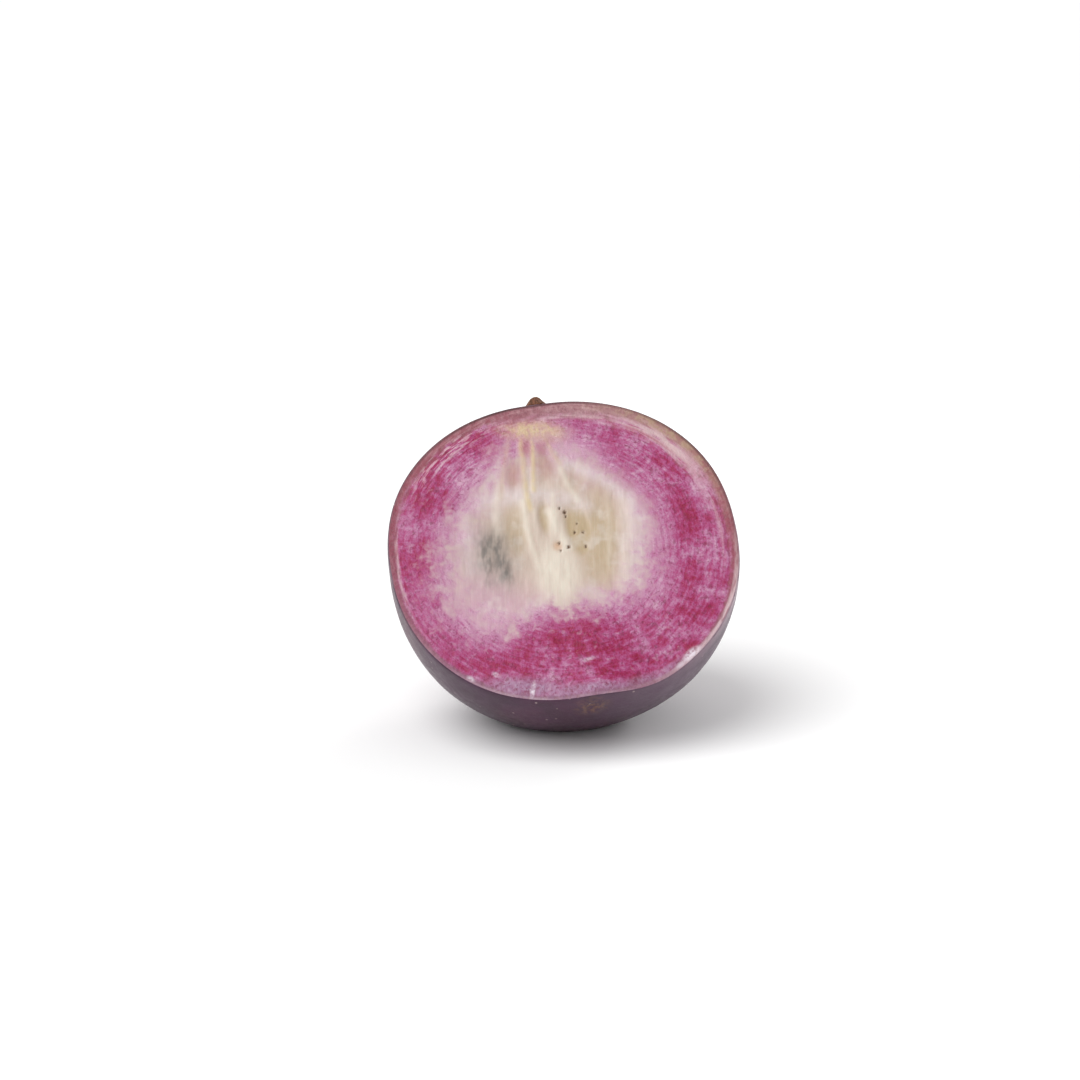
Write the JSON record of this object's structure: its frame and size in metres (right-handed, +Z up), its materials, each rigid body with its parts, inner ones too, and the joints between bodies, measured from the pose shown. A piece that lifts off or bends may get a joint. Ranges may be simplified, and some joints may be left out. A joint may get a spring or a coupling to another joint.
{
  "type": "star apple half",
  "caption": "Half of a ripe round tropical fruit, cut down its stem axis, leaning back with the cut face showing and resting on a small flat spot.",
  "frame": {"origin": "middle of the flat spot under the fruit, on the surface that it rests on", "axes": "+Z up; -Y towards the side that the cut face looks to, which also looks up; +X across the fruit, with the stem end turned a little towards -X"},
  "size_m": [0.0804, 0.0724, 0.0687],
  "materials": {
    "fruit": "satin",
    "stalk": "matte"
  },
  "bodies": {
    "root": {"fruit_half": "fruit", "stalk_stub": "stalk"}
  },
  "joints": []
}
